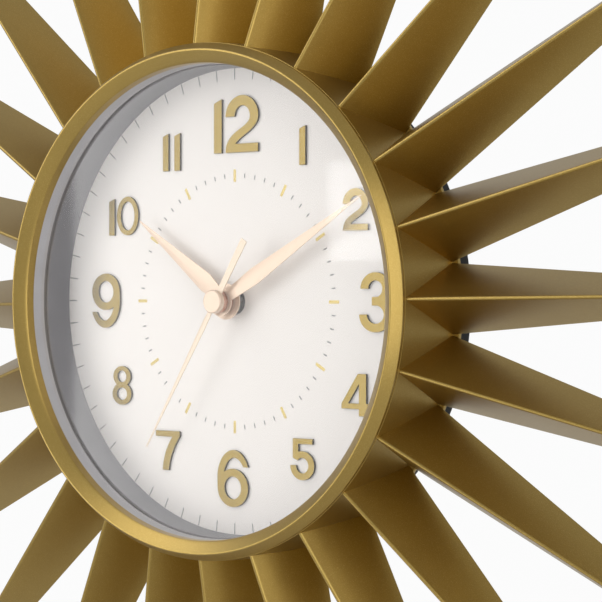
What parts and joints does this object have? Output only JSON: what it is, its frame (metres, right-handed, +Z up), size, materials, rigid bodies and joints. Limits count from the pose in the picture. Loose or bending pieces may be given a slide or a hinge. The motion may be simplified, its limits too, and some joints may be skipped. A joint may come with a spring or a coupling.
{
  "type": "sunburst wall clock",
  "caption": "Round battery wall clock with a deep glazed dial, raised numerals and a ring of long tapering gold rays, hung by a keyhole plate.",
  "frame": {"origin": "where the axis of the hands meets the wall, in the plane of the back cover's rear face", "axes": "+X to the right as seen from the front, +Y into the wall, +Z up towards 12 o'clock; the dial faces -Y"},
  "size_m": [0.5, 0.047, 0.5],
  "materials": {
    "gold_paint": "satin metallic gold paint over moulded plastic",
    "clear_lens": "clear polished acrylic",
    "pale_ring": "satin pale grey",
    "grey_ring": "semi-gloss warm grey",
    "black_plastic": "fine moulded texture",
    "zinc_steel": "zinc plated",
    "dial_card": "printed, very pale warm white",
    "numeral_gold": "satin gold face with darker cut edges",
    "hand_champagne": "champagne anodised, fine brushed",
    "hub_rose": "satin rose brown",
    "dark_nut": "dark nickel",
    "black_foam": "foam",
    "movement_black": "fine moulded texture",
    "natural_plastic": "natural acetal",
    "magnet": "sintered",
    "core_iron": "annealed",
    "bobbin_white": "moulded",
    "copper_wire": "enamelled copper winding",
    "board_green": "solder mask",
    "bright_tin": "tin plated",
    "chip_resin": "black resin drop",
    "cell_jacket": "plain wrapped sleeve, no print"
  },
  "bodies": {
    "case": {"bezel": "gold_paint", "lens": "clear_lens", "lens_ring": "pale_ring", "rehaut": "grey_ring", "drum": "gold_paint", "rays": "gold_paint", "back_cover": "black_plastic", "back_screws": "zinc_steel", "hanger_plate": "zinc_steel", "hanger_rivets": "zinc_steel", "dial": "dial_card", "numeral_1": "numeral_gold", "numeral_2": "numeral_gold", "numeral_3": "numeral_gold", "numeral_4": "numeral_gold", "numeral_5": "numeral_gold", "numeral_6": "numeral_gold", "numeral_7": "numeral_gold", "numeral_8": "numeral_gold", "numeral_9": "numeral_gold", "numeral_10": "numeral_gold", "numeral_11": "numeral_gold", "numeral_12": "numeral_gold", "post_nut": "dark_nut", "post_washer": "dark_nut", "dial_gasket": "black_foam", "movement_case": "movement_black", "movement_cover": "movement_black", "middle_plate": "natural_plastic", "cover_clips": "movement_black", "stator": "core_iron", "coil_core": "core_iron", "coil_bobbin": "bobbin_white", "coil": "copper_wire", "circuit_board": "board_green", "crystal": "bright_tin", "chip": "chip_resin", "contact_plus": "bright_tin", "contact_minus": "bright_tin", "battery": "cell_jacket"},
    "hour": {"hour_hand": "hand_champagne", "hour_collet": "hub_rose", "hour_wheel": "natural_plastic"},
    "minute": {"minute_hand": "hand_champagne", "minute_collet": "hub_rose", "centre_wheel": "natural_plastic"},
    "second": {"second_hand": "hand_champagne", "second_collet": "hub_rose", "hand_cap": "hand_champagne", "second_wheel": "natural_plastic"},
    "minute_wheel": {"minute_wheel": "natural_plastic"},
    "third": {"third_wheel": "natural_plastic"},
    "fifth": {"fifth_wheel": "natural_plastic"},
    "rotor": {"rotor": "natural_plastic", "rotor_magnet": "magnet"},
    "knob": {"setting_knob": "movement_black"}
  },
  "joints": [
    {"name": "minute_turn", "type": "hinge", "parent": "case", "child": "minute", "pos_m": [0, 0, 0], "axis": [0, 1, 0], "continuous": true},
    {"name": "second_turn", "type": "hinge", "parent": "case", "child": "second", "pos_m": [0, 0, 0], "axis": [0, 1, 0], "continuous": true},
    {"name": "hour_turn", "type": "hinge", "parent": "case", "child": "hour", "pos_m": [0, 0, 0], "axis": [0, 1, 0], "continuous": true},
    {"name": "minute_wheel_turn", "type": "hinge", "parent": "case", "child": "minute_wheel", "pos_m": [-0.00636, 0, 0.00636], "axis": [0, 1, 0], "continuous": true},
    {"name": "knob_turn", "type": "hinge", "parent": "case", "child": "knob", "pos_m": [-0.01273, 0, 0.01273], "axis": [0, 1, 0], "continuous": true},
    {"name": "third_turn", "type": "hinge", "parent": "case", "child": "third", "pos_m": [0.00649, 0, 0.00649], "axis": [0, 1, 0], "continuous": true},
    {"name": "fifth_turn", "type": "hinge", "parent": "case", "child": "fifth", "pos_m": [0.0052, 0, -0.003], "axis": [0, 1, 0], "continuous": true},
    {"name": "rotor_turn", "type": "hinge", "parent": "case", "child": "rotor", "pos_m": [0.01136, 0, -0.003], "axis": [0, 1, 0], "continuous": true}
  ],
  "couplings": [
    {"joint": "second_turn", "follows": "minute_turn", "ratio": 60},
    {"joint": "hour_turn", "follows": "minute_turn", "ratio": 0.083333},
    {"joint": "minute_wheel_turn", "follows": "minute_turn", "ratio": -0.33333},
    {"joint": "knob_turn", "follows": "minute_turn", "ratio": 1},
    {"joint": "third_turn", "follows": "minute_turn", "ratio": -8},
    {"joint": "fifth_turn", "follows": "minute_turn", "ratio": -300},
    {"joint": "rotor_turn", "follows": "minute_turn", "ratio": 1800}
  ]
}
